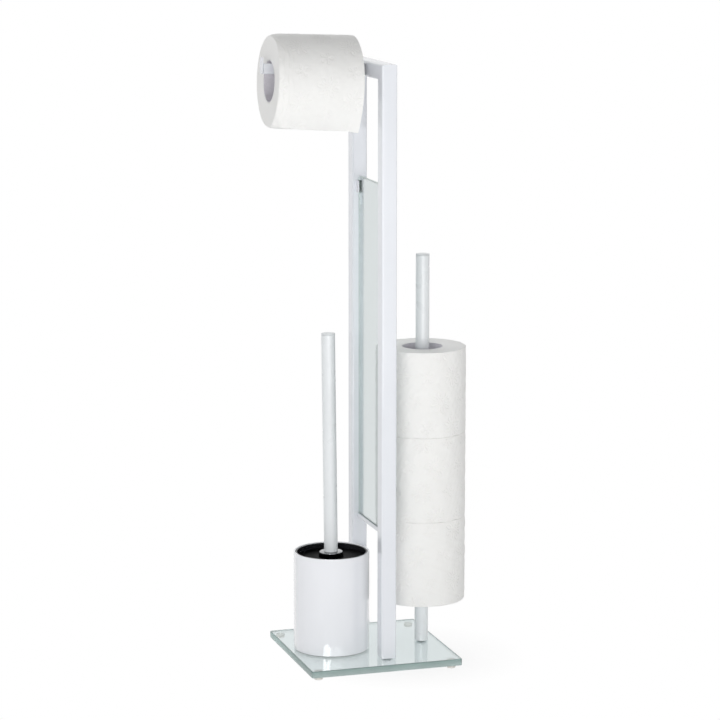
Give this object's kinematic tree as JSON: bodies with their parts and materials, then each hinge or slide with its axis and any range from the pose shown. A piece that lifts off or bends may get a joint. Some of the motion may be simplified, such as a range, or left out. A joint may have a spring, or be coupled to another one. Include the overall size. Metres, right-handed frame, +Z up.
{
  "type": "toilet butler stand",
  "caption": "Free-standing bathroom stand: glass base, white tube frame with a glass panel, an arm for a paper roll, a rod of spare rolls and a brush in a lift-out holder.",
  "frame": {"origin": "on the floor under the middle of the base plate", "axes": "+Z up, +X along the front edge of the base plate from the brush to the spare rolls, +Y from the front upright to the rear upright"},
  "size_m": [0.2454, 0.182, 0.7338],
  "materials": {
    "white_paint": "gloss white powder coat",
    "satin_white_paint": "satin white powder coat",
    "base_glass": "clear float glass, faintly green, polished edges",
    "panel_glass": "clear float glass",
    "clear_rubber": "clear soft pad",
    "dark_rubber": "matt dark rubber",
    "black_plastic": "gloss black",
    "white_plastic": "satin white",
    "grey_plastic": "matt grey",
    "polished_steel": "polished",
    "zinc_steel": "zinc plated",
    "bristle": "white nylon bristle",
    "paper": "white embossed tissue",
    "cardboard": "grey board"
  },
  "bodies": {
    "stand": {"base_plate": "base_glass", "foot_front_left": "clear_rubber", "foot_front_right": "clear_rubber", "foot_rear_left": "clear_rubber", "foot_rear_right": "clear_rubber", "front_upright": "white_paint", "rear_upright": "white_paint", "top_bar": "white_paint", "corner_key_front": "grey_plastic", "corner_key_rear": "grey_plastic", "front_upright_insert": "grey_plastic", "rear_upright_insert": "grey_plastic", "front_upright_screw": "zinc_steel", "rear_upright_screw": "zinc_steel", "front_upright_washer": "white_plastic", "rear_upright_washer": "white_plastic", "roll_arm": "white_paint", "arm_end_tab": "white_paint", "arm_seat": "grey_plastic", "arm_insert": "grey_plastic", "arm_bolt": "zinc_steel", "arm_access_plug": "white_plastic", "glass_panel": "panel_glass", "panel_rail": "white_paint", "panel_clip_front": "white_paint", "panel_clip_rear": "white_paint", "panel_gasket_front": "dark_rubber", "panel_gasket_rear": "dark_rubber", "clip_screw_front": "zinc_steel", "clip_screw_rear": "zinc_steel", "spare_rod": "satin_white_paint", "rod_cap": "satin_white_paint", "rod_insert": "grey_plastic", "rod_screw": "zinc_steel", "rod_washer": "white_plastic", "stop_disc": "satin_white_paint", "holder_gasket": "clear_rubber", "brush_holder": "white_paint", "holder_floor": "white_paint", "holder_bolt": "zinc_steel", "holder_washer": "white_plastic", "holder_nut": "zinc_steel"},
    "hanging_roll": {"hanging_roll_core": "cardboard", "hanging_roll_paper": "paper"},
    "container": {"inner_container": "black_plastic"},
    "brush": {"splash_lid": "black_plastic", "handle_flange": "polished_steel", "brush_handle": "satin_white_paint", "handle_insert": "grey_plastic", "handle_cap": "satin_white_paint", "brush_stem": "black_plastic", "brush_head": "bristle"},
    "spare_roll_1": {"spare_roll_1_core": "cardboard", "spare_roll_1_paper": "paper"},
    "spare_roll_2": {"spare_roll_2_core": "cardboard", "spare_roll_2_paper": "paper"},
    "spare_roll_3": {"spare_roll_3_core": "cardboard", "spare_roll_3_paper": "paper"}
  },
  "joints": [
    {"name": "hanging_roll_spin", "type": "hinge", "parent": "stand", "child": "hanging_roll", "pos_m": [-0.0172, 0, 0.67612], "axis": [-0.9991, 0, 0.0419], "continuous": true},
    {"name": "container_lift", "type": "slide", "parent": "stand", "child": "container", "axis": [0, 0, 1], "range_m": [0, 0.118]},
    {"name": "brush_lift", "type": "slide", "parent": "container", "child": "brush", "axis": [0, 0, 1], "range_m": [0, 0.112]},
    {"name": "spare_roll_1_lift", "type": "slide", "parent": "stand", "child": "spare_roll_1", "axis": [0, 0, 1], "range_m": [0, 0.4115]},
    {"name": "spare_roll_2_lift", "type": "slide", "parent": "spare_roll_1", "child": "spare_roll_2", "axis": [0, 0, 1], "range_m": [0, 0.311]},
    {"name": "spare_roll_3_lift", "type": "slide", "parent": "spare_roll_2", "child": "spare_roll_3", "axis": [0, 0, 1], "range_m": [0, 0.2105]}
  ]
}
